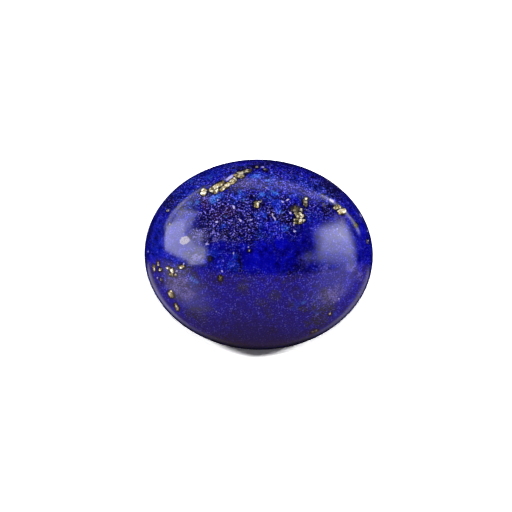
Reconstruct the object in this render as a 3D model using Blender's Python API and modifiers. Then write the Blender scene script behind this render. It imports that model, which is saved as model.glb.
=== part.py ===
"""Lapis lazuli, cut and polished as one oval cabochon.

The stone lies on its flat back with the dome up. X runs along its length and
Y across it, and the origin is the middle of the flat back. All sizes are in
metres.
"""
import math

import bpy
from mathutils import Matrix

# Driving dimensions: a 12 x 10 mm calibrated oval
LENGTH = 0.0120
WIDTH = 0.0100
HEIGHT = 0.0047

# The edge of the stone, from the back up
BEVEL_HEIGHT = 0.00035
BEVEL_DEPTH = 0.00035
GIRDLE_HEIGHT = 0.00100
GIRDLE_LEAN = 0.00004

# How finely the turned shape is cut
DOME_RINGS = 20
SIDES = 96
WELD = 0.000001
SHARP_ANGLE = math.radians(30)

# The stone's ultramarine, as linear red, green and blue
LAPIS_BLUE = (0.012, 0.010, 0.340, 1.0)
POLISH_ROUGHNESS = 0.12


def clear_scene():
    """Remove whatever the file opened with."""
    for item in list(bpy.data.objects):
        bpy.data.objects.remove(item, do_unlink=True)


def dome_outline():
    """Points down the dome's quarter ellipse, from its top to the girdle."""
    radius = LENGTH / 2 - GIRDLE_LEAN
    rise = HEIGHT - GIRDLE_HEIGHT
    points = []
    for ring in range(DOME_RINGS + 1):
        angle = math.pi / 2 * (1 - ring / DOME_RINGS)
        points.append((radius * math.cos(angle), GIRDLE_HEIGHT + rise * math.sin(angle)))
    points[0] = (0.0, HEIGHT)
    return points


def edge_outline():
    """Points down the girdle and the back bevel, and in to the back's middle."""
    half = LENGTH / 2
    return [(half, BEVEL_HEIGHT), (half - BEVEL_DEPTH, 0.0), (0.0, 0.0)]


def turned_mesh(name, outline):
    """Turn an outline of (radius, height) points once round the Z axis."""
    profile_mesh = bpy.data.meshes.new(name + "_profile")
    edges = [(index, index + 1) for index in range(len(outline) - 1)]
    profile_mesh.from_pydata([(radius, 0.0, height) for radius, height in outline], edges, [])
    profile = bpy.data.objects.new(name + "_profile", profile_mesh)
    bpy.context.scene.collection.objects.link(profile)
    turn = profile.modifiers.new("Turn", "SCREW")
    turn.axis = "Z"
    turn.angle = math.tau
    turn.steps = SIDES
    turn.render_steps = SIDES
    turn.use_merge_vertices = True
    turn.merge_threshold = WELD
    depsgraph = bpy.context.evaluated_depsgraph_get()
    mesh = bpy.data.meshes.new_from_object(profile.evaluated_get(depsgraph))
    mesh.name = name
    bpy.data.objects.remove(profile, do_unlink=True)
    return mesh


def lapis_material():
    """Deep blue stone with a high polish."""
    material = bpy.data.materials.new("polished_lapis")
    material.use_nodes = True
    shader = material.node_tree.nodes["Principled BSDF"]
    shader.inputs["Base Color"].default_value = LAPIS_BLUE
    shader.inputs["Roughness"].default_value = POLISH_ROUGHNESS
    shader.inputs["Metallic"].default_value = 0.0
    return material


def make_cabochon(collection):
    """The whole stone: a round dome on a bevelled flat back, drawn in to an oval."""
    mesh = turned_mesh("cabochon", dome_outline() + edge_outline())
    mesh.transform(Matrix.Scale(WIDTH / LENGTH, 4, (0.0, 1.0, 0.0)))
    mesh.shade_smooth()
    mesh.set_sharp_from_angle(angle=SHARP_ANGLE)
    mesh.materials.append(lapis_material())
    stone = bpy.data.objects.new("cabochon", mesh)
    collection.objects.link(stone)
    return stone


def main():
    clear_scene()
    collection = bpy.data.collections.new("lapis_lazuli_cabochon")
    bpy.context.scene.collection.children.link(collection)
    make_cabochon(collection)


main()
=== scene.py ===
# %% [markdown]
# # A polished lapis lazuli cabochon
# The object is one stone: a piece of blue rock, sawn and ground to an oval
# dome with a flat back, then polished until it mirrors the studio. The packed
# CAD model gives its size and place, and this lesson gives it a fine surface,
# its minerals, the lights that it mirrors and the camera.
#
# Lengths are in metres, and many are written as a number times MM. Only the
# coordinates of the patterns, and the sizes of what is drawn in them, are in
# millimetres.

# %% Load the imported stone
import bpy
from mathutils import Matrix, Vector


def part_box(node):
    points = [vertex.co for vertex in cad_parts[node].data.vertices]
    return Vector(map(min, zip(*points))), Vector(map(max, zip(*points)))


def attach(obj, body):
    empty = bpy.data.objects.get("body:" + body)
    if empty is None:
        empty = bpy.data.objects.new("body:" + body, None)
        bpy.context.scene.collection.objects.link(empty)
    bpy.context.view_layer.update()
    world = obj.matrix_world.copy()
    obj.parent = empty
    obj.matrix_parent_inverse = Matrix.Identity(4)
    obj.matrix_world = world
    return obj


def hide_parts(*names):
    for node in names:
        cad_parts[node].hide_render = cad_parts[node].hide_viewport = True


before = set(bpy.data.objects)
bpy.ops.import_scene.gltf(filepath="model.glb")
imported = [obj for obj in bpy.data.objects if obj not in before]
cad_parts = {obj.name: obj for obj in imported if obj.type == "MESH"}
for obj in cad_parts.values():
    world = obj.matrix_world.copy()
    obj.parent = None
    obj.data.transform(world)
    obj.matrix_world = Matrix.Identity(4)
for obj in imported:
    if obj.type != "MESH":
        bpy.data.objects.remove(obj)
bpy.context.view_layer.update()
print("CAD nodes:", sorted(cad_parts))

# %% Sizes that the rest of the lesson uses
import math

import bpy
from mathutils import Vector

MM = 0.001
low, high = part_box("cabochon")
HALF_LENGTH = (high.x - low.x) / 2
HALF_WIDTH = (high.y - low.y) / 2
HEIGHT = high.z
GIRDLE_TOP = 1.00 * MM
BEVEL = 0.35 * MM
GIRDLE_LEAN = 0.07 * MM
DOME_HALF_LENGTH = HALF_LENGTH - GIRDLE_LEAN
DOME_HALF_WIDTH = DOME_HALF_LENGTH * HALF_WIDTH / HALF_LENGTH
DOME_RISE = HEIGHT - GIRDLE_TOP
print("stone", [round(2 * half / MM, 2) for half in (HALF_LENGTH, HALF_WIDTH)], round(HEIGHT / MM, 2), "mm")

# %% [markdown]
# ## The dome
# A cabochon's dome is half an ellipsoid on a nearly upright edge, called the
# girdle. It could be a UV sphere, but that would leave a pole on the very
# top, where the polish shows the smallest unevenness. So the dome starts as a
# cube that is divided finely and cast to a sphere: its faces stay even and it
# has no pole. It is then drawn in to the oval and cut off at the girdle.

# %% A cube cast to a ball and drawn in to the oval
CUBE_CUTS = 95

bpy.ops.object.select_all(action="DESELECT")
bpy.ops.mesh.primitive_cube_add(size=2 * DOME_HALF_LENGTH, location=(0, 0, GIRDLE_TOP))
stone = bpy.context.object
stone.name = "lapis_cabochon"
bpy.ops.object.mode_set(mode="EDIT")
bpy.ops.mesh.select_all(action="SELECT")
bpy.ops.mesh.subdivide(number_cuts=CUBE_CUTS)
bpy.ops.object.mode_set(mode="OBJECT")
cast = stone.modifiers.new("Ball", "CAST")
cast.cast_type = "SPHERE"
cast.factor = 1.0
cast.radius = 0.0
cast.use_radius_as_size = False
cast.size = DOME_HALF_LENGTH
bpy.ops.object.modifier_apply(modifier=cast.name)
stone.scale = (1.0, DOME_HALF_WIDTH / DOME_HALF_LENGTH, DOME_RISE / DOME_HALF_LENGTH)
bpy.ops.object.transform_apply(location=True, rotation=True, scale=True)
print("ball of", len(stone.data.polygons), "faces")

# %% Cut off at the girdle
TINY = 0.0001 * MM


def select_vertices(thing, wanted):
    """In object mode, select only the vertices whose place passes the test, and count them."""
    mesh = thing.data
    mesh.polygons.foreach_set("select", [False] * len(mesh.polygons))
    mesh.edges.foreach_set("select", [False] * len(mesh.edges))
    mesh.vertices.foreach_set("select", [bool(wanted(v.co)) for v in mesh.vertices])
    return sum(v.select for v in mesh.vertices)


select_vertices(stone, lambda place: place.z < GIRDLE_TOP - TINY)
bpy.ops.object.mode_set(mode="EDIT")
bpy.ops.mesh.select_mode(type="VERT")
bpy.ops.mesh.delete(type="VERT")
bpy.ops.object.mode_set(mode="OBJECT")
rim_count = select_vertices(stone, lambda place: place.z < GIRDLE_TOP + TINY)
print("girdle ring of", rim_count, "vertices")

# %% [markdown]
# ## The girdle and the back
# The cutter grinds the back flat and takes its sharp edge off with a small
# bevel, so that the stone seats in a setting. Girdle and back could be solids
# joined to the dome, but the dome's open rim is already there: it is extruded
# down twice, spread a little the first time and drawn in the second, and
# closed with a grid of faces.

# %% Extrude the girdle, the back bevel and the flat back
bpy.ops.object.mode_set(mode="EDIT")
bpy.ops.mesh.select_mode(type="EDGE")
wall = GIRDLE_TOP - BEVEL
spread = HALF_LENGTH / DOME_HALF_LENGTH
bpy.ops.mesh.extrude_region_move(TRANSFORM_OT_translate={"value": (0, 0, -wall)})
bpy.ops.transform.resize(value=(spread, spread, 1), center_override=(0, 0, 0))
draw_in = (HALF_LENGTH - BEVEL) / HALF_LENGTH
bpy.ops.mesh.extrude_region_move(TRANSFORM_OT_translate={"value": (0, 0, -BEVEL)})
bpy.ops.transform.resize(value=(draw_in, draw_in, 1), center_override=(0, 0, 0))
bpy.ops.mesh.fill_grid(span=(CUBE_CUTS + 1), offset=0)
bpy.ops.mesh.select_all(action="SELECT")
bpy.ops.mesh.normals_make_consistent(inside=False)
bpy.ops.object.mode_set(mode="OBJECT")
print("closed stone of", len(stone.data.polygons), "faces")

# %% [markdown]
# ## Wear and the hand's unevenness
# The two corners of the back bevel are worn a little round by the polishing
# lap, which a bevel operator with three segments copies. The surface is
# polished by hand against leather, so it is never perfectly even: a
# displacement of a few thousandths of a millimetre makes the reflections
# wander slightly, as they do on the real stone.

# %% Round the worn corners, then add the polishing wave
EDGE_WEAR = 0.05 * MM
ON_RING = 0.0001
WAVE_HEIGHT = 0.006 * MM
WAVE_SIZE = 1.8 * MM
SHARP_ANGLE = math.radians(35)

edge_heights = (BEVEL, 0.0)
mesh = stone.data
select_vertices(stone, lambda place: False)
half_back = HALF_LENGTH - BEVEL


def on_ring(place, height):
    """True on the outer ring of vertices at a height."""
    reach = math.hypot(place.x / HALF_LENGTH, place.y / HALF_WIDTH)
    return abs(place.z - height) < TINY and reach > half_back / HALF_LENGTH - ON_RING


for edge in mesh.edges:
    ends = [mesh.vertices[index].co for index in edge.vertices]
    edge.select = any(all(on_ring(end, height) for end in ends) for height in edge_heights)
print("edges to wear:", sum(edge.select for edge in mesh.edges))
bpy.ops.object.mode_set(mode="EDIT")
bpy.ops.mesh.bevel(offset=EDGE_WEAR, offset_type="OFFSET", segments=3, affect="EDGES")
bpy.ops.object.mode_set(mode="OBJECT")

wave_texture = bpy.data.textures.new("polishing_wave", "CLOUDS")
wave_texture.noise_scale = WAVE_SIZE
wave = stone.modifiers.new("Wave", "DISPLACE")
wave.texture = wave_texture
wave.texture_coords = "LOCAL"
wave.strength = WAVE_HEIGHT
wave.mid_level = 0.5
bpy.ops.object.modifier_apply(modifier=wave.name)
bpy.ops.object.shade_smooth_by_angle(angle=SHARP_ANGLE)
print("finished stone:", len(mesh.polygons), "faces")

# %% [markdown]
# ## Helpers for shader nodes
# Every mineral below is drawn by nodes that read the stone's own Object
# coordinates, so the pattern runs through the rock in three dimensions and
# stays with the stone. The nodes could be placed by hand in the shader
# editor. There are hundreds, so Python writes them, and these few helpers
# keep that short.


# %% Helpers that link and calculate
def feed(tree, socket, value):
    """Link another socket, or set a plain value."""
    if isinstance(value, bpy.types.NodeSocket):
        tree.links.new(value, socket)
    else:
        socket.default_value = value


def sums(tree, operation, first, second=0.0, third=0.0):
    """One Math node."""
    node = tree.nodes.new("ShaderNodeMath")
    node.operation = operation
    feed(tree, node.inputs[0], first)
    feed(tree, node.inputs[1], second)
    feed(tree, node.inputs[2], third)
    return node.outputs[0]


def vector_sums(tree, operation, first, second=(0, 0, 0), scale=1.0):
    """One Vector Math node: its number for a length or dot product, else its vector."""
    node = tree.nodes.new("ShaderNodeVectorMath")
    node.operation = operation
    feed(tree, node.inputs[0], first)
    if operation == "SCALE":
        node.inputs["Scale"].default_value = scale
    else:
        feed(tree, node.inputs[1], second)
    return node.outputs["Value" if operation in ("LENGTH", "DOT_PRODUCT") else "Vector"]


def ease(tree, value, start, end, low_value=0.0, high_value=1.0):
    """A smooth step from low_value at start to high_value at end."""
    node = tree.nodes.new("ShaderNodeMapRange")
    node.interpolation_type = "SMOOTHSTEP"
    feed(tree, node.inputs["Value"], value)
    feed(tree, node.inputs["From Min"], start)
    feed(tree, node.inputs["From Max"], end)
    feed(tree, node.inputs["To Min"], low_value)
    feed(tree, node.inputs["To Max"], high_value)
    return node.outputs["Result"]


# %% Helpers for colours and patterns
def blend(tree, amount, under, over):
    """Mix two colours."""
    node = tree.nodes.new("ShaderNodeMix")
    node.data_type = "RGBA"
    feed(tree, node.inputs[0], amount)
    feed(tree, node.inputs[6], under)
    feed(tree, node.inputs[7], over)
    return node.outputs[2]


def noise(tree, point, size, detail=2.0, roughness=0.5):
    """Cloudy noise with features of about the given size in millimetres."""
    node = tree.nodes.new("ShaderNodeTexNoise")
    feed(tree, node.inputs["Vector"], point)
    node.inputs["Scale"].default_value = 1.0 / size
    node.inputs["Detail"].default_value = detail
    node.inputs["Roughness"].default_value = roughness
    return node


def cells(tree, point, size, feature="F1"):
    """Voronoi cells of about the given size in millimetres, like crystal grains."""
    node = tree.nodes.new("ShaderNodeTexVoronoi")
    node.feature = feature
    feed(tree, node.inputs["Vector"], point)
    node.inputs["Scale"].default_value = 1.0 / size
    return node


def parts_of(tree, colour):
    """The three random numbers that a cell's colour holds."""
    node = tree.nodes.new("ShaderNodeSeparateColor")
    feed(tree, node.inputs[0], colour)
    return node.outputs


# %% [markdown]
# ## Colours and groups
# Each colour is written as it should look on screen, and was changed until the
# render agreed with the photograph. Nodes want linear light, and the studio's
# lights scale with STUDIO_LIGHT, so the colour is made linear and divided by
# it. The cream of the pyrite, a painted highlight, may go past 255, and so
# may the blue of the pale stray grains. A node group is like a function: it
# has named inputs and outputs, and is written once for many uses.

# %% Helpers for colours seen on screen and for node groups
STUDIO_LIGHT = 1.6


def colour(red, green, blue):
    """A colour as it should look on screen, where 255 is white, as the linear values of nodes."""
    def straight(level):
        level = level / 255
        return level / 12.92 if level <= 0.04045 else ((level + 0.055) / 1.055) ** 2.4
    return tuple(straight(level) / STUDIO_LIGHT for level in (red, green, blue)) + (1.0,)


def new_group(name, inputs, outputs):
    """An empty node group with the sockets named, and its two ends."""
    group = bpy.data.node_groups.new(name, "ShaderNodeTree")
    for socket_name, kind in inputs:
        group.interface.new_socket(socket_name, in_out="INPUT", socket_type="NodeSocket" + kind)
    for socket_name, kind in outputs:
        group.interface.new_socket(socket_name, in_out="OUTPUT", socket_type="NodeSocket" + kind)
    return group, group.nodes.new("NodeGroupInput"), group.nodes.new("NodeGroupOutput")


def use_group(tree, group, point, values):
    """One use of a group: its Point is linked, and its other inputs are set by name."""
    node = tree.nodes.new("ShaderNodeGroup")
    node.node_tree = group
    feed(tree, node.inputs["Point"], point)
    for socket_name, value in values.items():
        node.inputs[socket_name].default_value = value
    return node


def turned_offset(group, start):
    """The way from the group's Centre to its Point, turned back by its Turn."""
    offset = vector_sums(group, "SUBTRACT", start.outputs["Point"], start.outputs["Centre"])
    turn = group.nodes.new("ShaderNodeVectorRotate")
    turn.rotation_type = "Z_AXIS"
    turn.invert = True
    feed(group, turn.inputs["Vector"], offset)
    feed(group, turn.inputs["Angle"], start.outputs["Turn"])
    return turn.outputs[0]


print("white paper as a stone's colour:", [round(part, 3) for part in colour(255, 255, 255)])

# %% [markdown]
# ## One patch of mineral
# Lapis is a rock: blue lazurite grown together with white calcite, violet and
# near-black grains and gold pyrite. Plain noise could scatter them, but here
# each larger one has its own place on the stone. So each is a small ellipsoid
# inside the stone, and the polished surface cuts through it. A group turns a
# point into 1 inside such an ellipsoid and 0 outside, and gives a second,
# wider mask for the dark seam around a hard grain. Pyrite grows with flat
# faces, so its group uses a squarer distance than the cloudy patches do.


# %% The two patch groups
def make_patch_group(name, angular):
    """Masks of one ellipsoid with a soft edge, or of a squarish grain, and of the seam around it."""
    sockets = [("Point", "Vector"), ("Centre", "Vector"), ("Radii", "Vector"), ("Seam radii", "Vector")]
    sockets += [("Turn", "Float"), ("Softness", "Float"), ("Strength", "Float")]
    group, start, end = new_group(name, sockets, [("Mask", "Float"), ("Seam", "Float")])
    offset = turned_offset(group, start)
    inner = sums(group, "SUBTRACT", 1.0, start.outputs["Softness"])
    outer = sums(group, "ADD", 1.0, start.outputs["Softness"])
    for output, radii in (("Mask", "Radii"), ("Seam", "Seam radii")):
        reach = vector_sums(group, "DIVIDE", offset, start.outputs[radii])
        if angular and output == "Mask":
            squared = vector_sums(group, "MULTIPLY", reach, reach)
            distance = sums(group, "SQRT", vector_sums(group, "LENGTH", squared))
        else:
            distance = vector_sums(group, "LENGTH", reach)
        mask = ease(group, distance, inner, outer, 1.0, 0.0)
        feed(group, end.inputs[output], sums(group, "MULTIPLY", mask, start.outputs["Strength"]))
    return group


CLOUDY_PATCH = make_patch_group("cloudy_patch", angular=False)
ANGULAR_PATCH = make_patch_group("angular_patch", angular=True)
print("nodes in a patch group:", len(CLOUDY_PATCH.nodes), "or, for pyrite,", len(ANGULAR_PATCH.nodes))

# %% Patches placed on the dome
SEAM_WIDTH = 0.11
LEAST_DEPTH = 0.6
SLOPE_DEPTH = 1.6


def dome_height(x, y):
    """Height in millimetres of the dome above a point given in millimetres."""
    inside = 1 - (x * MM / DOME_HALF_LENGTH) ** 2 - (y * MM / DOME_HALF_WIDTH) ** 2
    return (GIRDLE_TOP + DOME_RISE * math.sqrt(max(inside, 0.0))) / MM


def patch(tree, point, row, group, softness):
    """One patch. Its row is (x, y, half length, half width, turn in degrees, strength) on the dome."""
    x, y, long_half, short_half, turn, strength = row
    steep = 1 - dome_height(x, y) / (HEIGHT / MM)
    depth = (long_half + short_half) * (LEAST_DEPTH + SLOPE_DEPTH * steep)
    radii = (long_half, short_half, depth)
    return use_group(tree, group, point, {
        "Centre": (x, y, dome_height(x, y)),
        "Radii": radii,
        "Seam radii": [radius + SEAM_WIDTH for radius in radii],
        "Turn": math.radians(turn),
        "Softness": softness,
        "Strength": strength,
    })


def patches(tree, point, rows, group, softness):
    """The mask of many patches together."""
    total = 0.0
    for row in rows:
        total = sums(tree, "MAXIMUM", patch(tree, point, row, group, softness).outputs["Mask"], total)
    return total


def seamed_grains(tree, point, rows, group, softness, seam):
    """The mask of many hard grains, and the seams around them added to those before."""
    total = 0.0
    for row in rows:
        node = patch(tree, point, row, group, softness)
        total = sums(tree, "MAXIMUM", node.outputs["Mask"], total)
        seam = sums(tree, "MAXIMUM", node.outputs["Seam"], seam)
    return total, seam


print("dome height at its middle and 5 mm along:", dome_height(0, 0), round(dome_height(5, 0), 2), "mm")

# %% [markdown]
# ## Where the minerals lie
# The places were read off the photograph, most of them in pixels that
# were then turned into millimetres, and many were moved afterwards to suit
# the render. They count from the stone's middle: x to the right, y up the
# picture. Each row is one patch: its centre, half length, half width, turn in
# degrees and strength. Noise could place them all, but not where they lie on
# this stone.

# %% Where the rock is calm, and where its grain is coarse
CALM = [
    (0.95, -0.1, 2.1, 0.9, 0, 1), (2.6, 0.4, 0.8, 0.9, 0, 0.8), (-5.4, 0.4, 0.5, 1.4, 0, 0.6),
    (5.55, 0.6, 0.4, 1.4, 0, 0.5),
]
COARSE = [
    (-0.6, 2.7, 2.9, 2.2, 0, 1), (2.6, 3.1, 1.9, 1.1, -25, 0.8), (-3.6, 3, 1.5, 0.9, 35, 0.8),
    (-4.2, -1.3, 1.1, 0.9, 0, 0.6), (3.2, -2.8, 1.1, 1, 0, 0.5),
]
print("calm and coarse zones:", len(CALM), len(COARSE))

# %% The blue patches, some of them painted light
AZURE = [
    (-0.25, 4.06, 0.42, 0.16, 10, 0.8), (-2.4, 2.78, 0.3, 0.24, 0, 1),
    (-2.02, 2.98, 0.28, 0.13, 15, 0.8), (1.05, 2.25, 0.18, 0.13, 0, 0.9),
    (0.54, 4.03, 0.42, 0.16, 0, 0.5), (0.44, 3.81, 0.25, 0.12, 0, 0.6),
    (0.72, 3.14, 0.26, 0.16, -20, 0.9), (0.14, 3.07, 0.3, 0.14, 10, 0.8),
    (-1.01, 2.99, 0.3, 0.2, 0, 0.7), (-1.38, 2.67, 0.22, 0.18, 0, 0.6),
    (-0.17, 2.91, 0.16, 0.12, 0, 0.7), (-1.87, 1.34, 0.22, 0.12, 20, 0.9),
    (0.03, 1.07, 0.24, 0.2, 0, 0.7), (-1.15, -0.17, 0.16, 0.16, 0, 0.6),
    (-1.35, -0.65, 0.28, 0.24, 0, 0.5), (0.32, 2.08, 0.18, 0.2, 0, 0.7),
    (0.18, 1.55, 0.16, 0.3, 0, 0.6), (1.39, 1.42, 0.22, 0.16, 0, 0.7),
    (-4.78, -0.36, 0.18, 0.12, 0, 0.6), (-3.38, -1.54, 0.24, 0.2, 0, 0.7),
    (2.01, -2.62, 0.28, 0.22, 0, 0.6), (3.11, -2.17, 0.22, 0.16, 0, 0.5),
    (4.02, -3.05, 0.14, 0.16, 0, 0.6), (3.08, 3.46, 0.28, 0.1, -20, 0.6),
    (1.8, 3.05, 0.4, 0.14, 0, 0.5), (0.85, 2.6, 0.4, 0.2, -20, 0.6), (2.55, 2, 0.16, 0.4, 0, 0.4),
    (-5.25, 0.3, 0.4, 1.2, 0, 0.12), (-4.2, 2.9, 0.9, 0.45, 40, 0.15), (-2.8, 3.95, 1, 0.28, 20, 0.2),
    (2.3, 3.75, 0.8, 0.25, -22, 0.3), (-3.4, 2.55, 0.35, 0.22, 20, 0.4),
    (-2.45, -0.05, 0.4, 0.2, 0, 0.4),
]
SKY = [
    (-2.42, 2.77, 0.18, 0.18, 0, 1), (-2.2, 2.94, 0.17, 0.11, 30, 0.8), (1.16, 2.2, 0.13, 0.08, 0, 1),
    (-0.22, 4.04, 0.22, 0.09, 10, 0.7), (0.44, 3.84, 0.16, 0.08, 0, 0.6),
    (0.14, 3.12, 0.16, 0.08, 10, 0.7), (0.66, 3.27, 0.16, 0.06, -30, 0.7),
    (0.88, 3.17, 0.13, 0.06, -30, 0.8), (2.43, -2.45, 0.14, 0.08, 30, 0.6),
    (-3.39, -1.33, 0.11, 0.11, 0, 0.6), (-3.17, -1.53, 0.12, 0.08, 0, 0.5),
    (3.13, -3.01, 0.11, 0.08, 0, 0.5), (-3.22, 2.62, 0.11, 0.08, 0, 0.7),
    (-3.58, 2.56, 0.11, 0.11, 0, 0.6), (-2.62, 3.95, 0.13, 0.11, 0, 0.3),
    (-3.66, 3.72, 0.16, 0.11, 0, 0.3), (-1.02, 3.2, 0.12, 0.07, 0, 0.6),
    (-1.73, 1.92, 0.11, 0.06, 0, 0.6), (-0.85, 2.78, 0.09, 0.07, 0, 0.5),
    (0.5, 2.95, 0.12, 0.06, -40, 0.5), (1.45, 1.38, 0.09, 0.06, 0, 0.6),
]
ROYAL_AND_PAINTED_LIGHT = [
    (1.15, 0.62, 0.34, 0.34, 0, 0.9), (0.49, -0.55, 0.4, 0.45, 0, 0.7),
    (-0.25, -0.46, 0.45, 0.45, 0, 0.6), (0.94, 2.56, 0.34, 0.2, -20, 0.9),
    (1.73, 2.74, 0.26, 0.2, 20, 0.9), (-5.57, -0.38, 0.2, 0.16, 0, 0.7),
    (-2.36, 4.06, 0.6, 0.36, 15, 0.6), (-3.81, 3.45, 0.4, 0.3, 40, 0.5), (2.84, 2.29, 0.3, 0.4, 0, 0.4),
    (-2.2, 0.2, 0.5, 0.3, 0, 0.4), (5.4, 1.4, 0.2, 0.4, -20, 0.5), (3.3, 1.4, 0.5, 0.3, 0, 0.4),
    (-1.4, -1.9, 0.4, 0.3, 0, 0.7), (-0.8, -2.6, 0.3, 0.24, 0, 0.6), (-1.1, -3.2, 0.3, 0.2, 0, 0.6),
    (-0.8, -3.8, 0.34, 0.2, 0, 0.5), (-2.8, -2.5, 0.34, 0.26, 0, 0.6), (-3.6, -2.5, 0.3, 0.2, 0, 0.6),
    (1.5, -4.05, 0.5, 0.2, 0, 0.7), (-4.75, -2.15, 0.2, 0.35, 30, 0.8), (2.1, -3.3, 0.3, 0.2, 0, 0.5),
    (4.2, -2.6, 0.25, 0.4, -30, 0.7), (2.4, -1.6, 0.4, 0.3, 0, 0.4), (0.6, 1.3, 0.3, 0.3, 0, 0.6),
    # From here on the broad rows are mostly painted light: royal blue that lightens the lower half, where
    # less light falls, and the rock under the softbox reflections.
    (0.6, -4.35, 2, 0.6, 0, 1), (0.2, -3.2, 4.6, 1.5, 0, 0.6), (-4.1, 0.6, 0.8, 0.9, 0, 0.5),
    (4.1, 0.5, 0.8, 0.9, 0, 0.3), (3.9, -1.3, 1.3, 0.8, 0, 0.3), (1.2, 3.6, 1.4, 0.5, -10, 0.25),
    (-4.6, -2.6, 0.6, 0.8, 30, 0.6),
]
print("blue patches:", len(AZURE) + len(SKY) + len(ROYAL_AND_PAINTED_LIGHT))

# %% The violet and russet patches, and the speckled zone
HEATHER = [
    (-2.91, 0.84, 0.32, 0.26, 0, 0.5), (-2.01, 0.76, 0.32, 0.13, 10, 0.6),
    (-3.46, -0.49, 0.24, 0.13, -20, 0.9), (3.49, -0.74, 0.34, 0.21, 0, 0.4),
    (5.29, -0.96, 0.21, 0.26, 0, 0.4), (4.86, -0.61, 0.26, 0.21, 0, 0.4),
    (0.02, 3.54, 0.42, 0.21, 0, 0.2), (1.34, 3.63, 0.63, 0.26, -15, 0.2),
    (2.3, 3.28, 0.55, 0.06, -22, 0.5), (-3.12, -0.22, 0.26, 0.14, 0, 0.8),
    (2.4, -0.3, 0.35, 0.3, 0, 0.15), (-1.85, 3.75, 0.3, 0.1, 40, 0.8),
]
VIOLET = [
    (-0.77, 3.73, 0.5, 0.3, 0, 0.8), (3.74, -2.11, 0.6, 0.34, 0, 0.9), (4.25, -1.78, 0.4, 0.3, 0, 0.5),
    (-4.17, -1.71, 0.6, 0.55, 0, 1), (-3.74, -2.12, 0.45, 0.34, 0, 0.8),
    (4.27, 2.01, 0.35, 0.2, 0, 0.6), (-4.3, -1.2, 0.4, 0.25, 0, 0.6),
]
RUSSET = [
    (-2.79, 2.58, 0.26, 0.37, 0, 0.6), (0.48, 2.21, 0.24, 0.09, -40, 0.7),
    (-1.52, 2.14, 0.37, 0.26, 0, 0.4), (-2.25, 1.96, 0.26, 0.26, 0, 0.4),
    (2.24, 2.06, 0.1, 0.1, 0, 0.8),
]
SPECKLED = [
    (-2.45, 1.6, 0.7, 1, 0, 1), (-1.62, 2.03, 0.8, 0.75, 0, 1), (-0.98, 1.5, 0.75, 0.75, 0, 1),
    (-1.76, 1.13, 0.6, 0.45, 0, 1), (-0.5, 1.7, 0.55, 0.8, 0, 0.9), (0.58, 2.24, 0.45, 0.26, -30, 0.8),
    (1.38, 1.9, 0.45, 0.3, -30, 0.7), (1.3, 2.8, 0.35, 0.16, 0, 0.7), (-1, 0.85, 0.6, 0.35, 0, 0.7),
    (-2.7, 2.75, 0.6, 0.5, 0, 1), (-2.45, 0.75, 0.5, 0.3, 20, 0.9), (-3.35, 0.95, 0.25, 0.4, 0, 0.6),
    (-0.9, 2.45, 0.8, 0.4, 0, 0.8), (-1.6, 2.7, 0.6, 0.22, 10, 0.6), (-0.1, 2.6, 0.3, 0.4, 0, 0.5),
    (1.7, 1.4, 0.3, 0.22, 0, 0.5), (2.75, 2.45, 0.35, 0.3, 0, 0.5), (-3.3, -0.15, 0.4, 0.3, 0, 0.5),
]
print("violet, russet and speckled patches:", sum(map(len, (HEATHER, VIOLET, RUSSET, SPECKLED))))

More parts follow.
